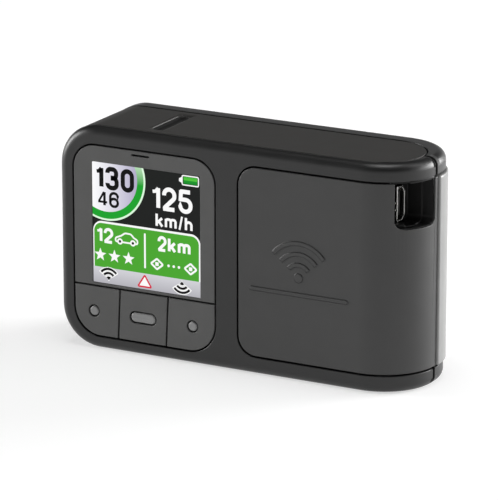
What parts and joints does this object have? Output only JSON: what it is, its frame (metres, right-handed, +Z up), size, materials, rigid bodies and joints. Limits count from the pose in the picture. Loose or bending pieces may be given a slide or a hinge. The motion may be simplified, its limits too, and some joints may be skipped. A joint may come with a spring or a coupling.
{
  "type": "radar detector",
  "caption": "Pocket radar and speed-warning unit with a square colour screen, front keys, a top on/off bar and a recessed micro-USB socket.",
  "frame": {"origin": "under the middle of the housing, on the flat base it stands on", "axes": "+X along the length towards the half-round end, +Y from the front face to the back, +Z up"},
  "size_m": [0.0838, 0.0256, 0.049],
  "materials": {
    "frame_plastic": "dark grey moulded plastic, fine even texture",
    "shell_plastic": "dark grey moulded plastic, slightly warmer and more matt",
    "cover_plastic": "charcoal moulded plastic, fine even texture",
    "rear_cover_plastic": "charcoal moulded plastic, smoother than the side cover",
    "panel_plastic": "mid grey moulded plastic, fine even texture",
    "insert_plastic": "pale grey translucent plastic",
    "window_acrylic": "clear glossy window",
    "screen_glass": "glossy display cell, lit picture in use",
    "tray_plastic": "white reflector tray",
    "black_plastic": "black moulded plastic",
    "socket_steel": "bright nickel-plated steel",
    "tinned_steel": "tinned sheet steel",
    "board_laminate": "green solder mask on laminate",
    "battery_wrap": "silver pouch",
    "antenna_ceramic": "unglazed ceramic patch",
    "antenna_plastic": "plastic carrier",
    "gasket_foam": "black foam rubber",
    "cone_film": "formed black film",
    "speaker_steel": "pressed steel",
    "screw_steel": "blackened screw steel",
    "disc_steel": "brushed steel disc"
  },
  "bodies": {
    "housing": {"front_frame": "frame_plastic", "centre_shell": "shell_plastic", "rear_shell": "frame_plastic", "side_cover": "cover_plastic", "rear_cover": "rear_cover_plastic", "display_bezel": "panel_plastic", "display_window": "window_acrylic", "lcd_cell": "screen_glass", "backlight_tray": "tray_plastic", "light_sensor": "black_plastic", "key_board": "board_laminate", "key_switch_left": "tinned_steel", "key_switch_middle": "tinned_steel", "key_switch_right": "tinned_steel", "on_off_switch": "tinned_steel", "main_board": "board_laminate", "modem_shield": "tinned_steel", "processor_shield": "tinned_steel", "battery": "battery_wrap", "gps_antenna": "antenna_ceramic", "cell_antenna": "antenna_plastic", "speaker_gasket": "gasket_foam", "speaker_basket": "speaker_steel", "speaker_cone": "cone_film", "plug_bay": "black_plastic", "usb_socket": "socket_steel", "usb_tongue": "black_plastic", "usb_board": "board_laminate", "screw_1": "screw_steel", "screw_2": "screw_steel", "screw_3": "screw_steel", "screw_4": "screw_steel", "holder_disc": "disc_steel"},
    "left_key": {"key_left": "panel_plastic", "key_insert_left": "insert_plastic", "key_plunger_left": "insert_plastic"},
    "middle_key": {"key_middle": "panel_plastic", "key_insert_middle": "insert_plastic", "key_plunger_middle": "insert_plastic"},
    "right_key": {"key_right": "panel_plastic", "key_insert_right": "insert_plastic", "key_plunger_right": "insert_plastic"},
    "on_off_key": {"on_off_bar": "shell_plastic", "on_off_plunger": "insert_plastic"}
  },
  "joints": [
    {"name": "left_key_press", "type": "slide", "parent": "housing", "child": "left_key", "axis": [0, 1, 0], "range_m": [0, 0.0005], "stiffness_N_per_m": 2000, "springref_m": -0.0003},
    {"name": "middle_key_press", "type": "slide", "parent": "housing", "child": "middle_key", "axis": [0, 1, 0], "range_m": [0, 0.0005], "stiffness_N_per_m": 2000, "springref_m": -0.0003},
    {"name": "right_key_press", "type": "slide", "parent": "housing", "child": "right_key", "axis": [0, 1, 0], "range_m": [0, 0.0005], "stiffness_N_per_m": 2000, "springref_m": -0.0003},
    {"name": "on_off_press", "type": "slide", "parent": "housing", "child": "on_off_key", "axis": [0, 0, -1], "range_m": [0, 0.0005], "stiffness_N_per_m": 2000, "springref_m": -0.0003}
  ]
}
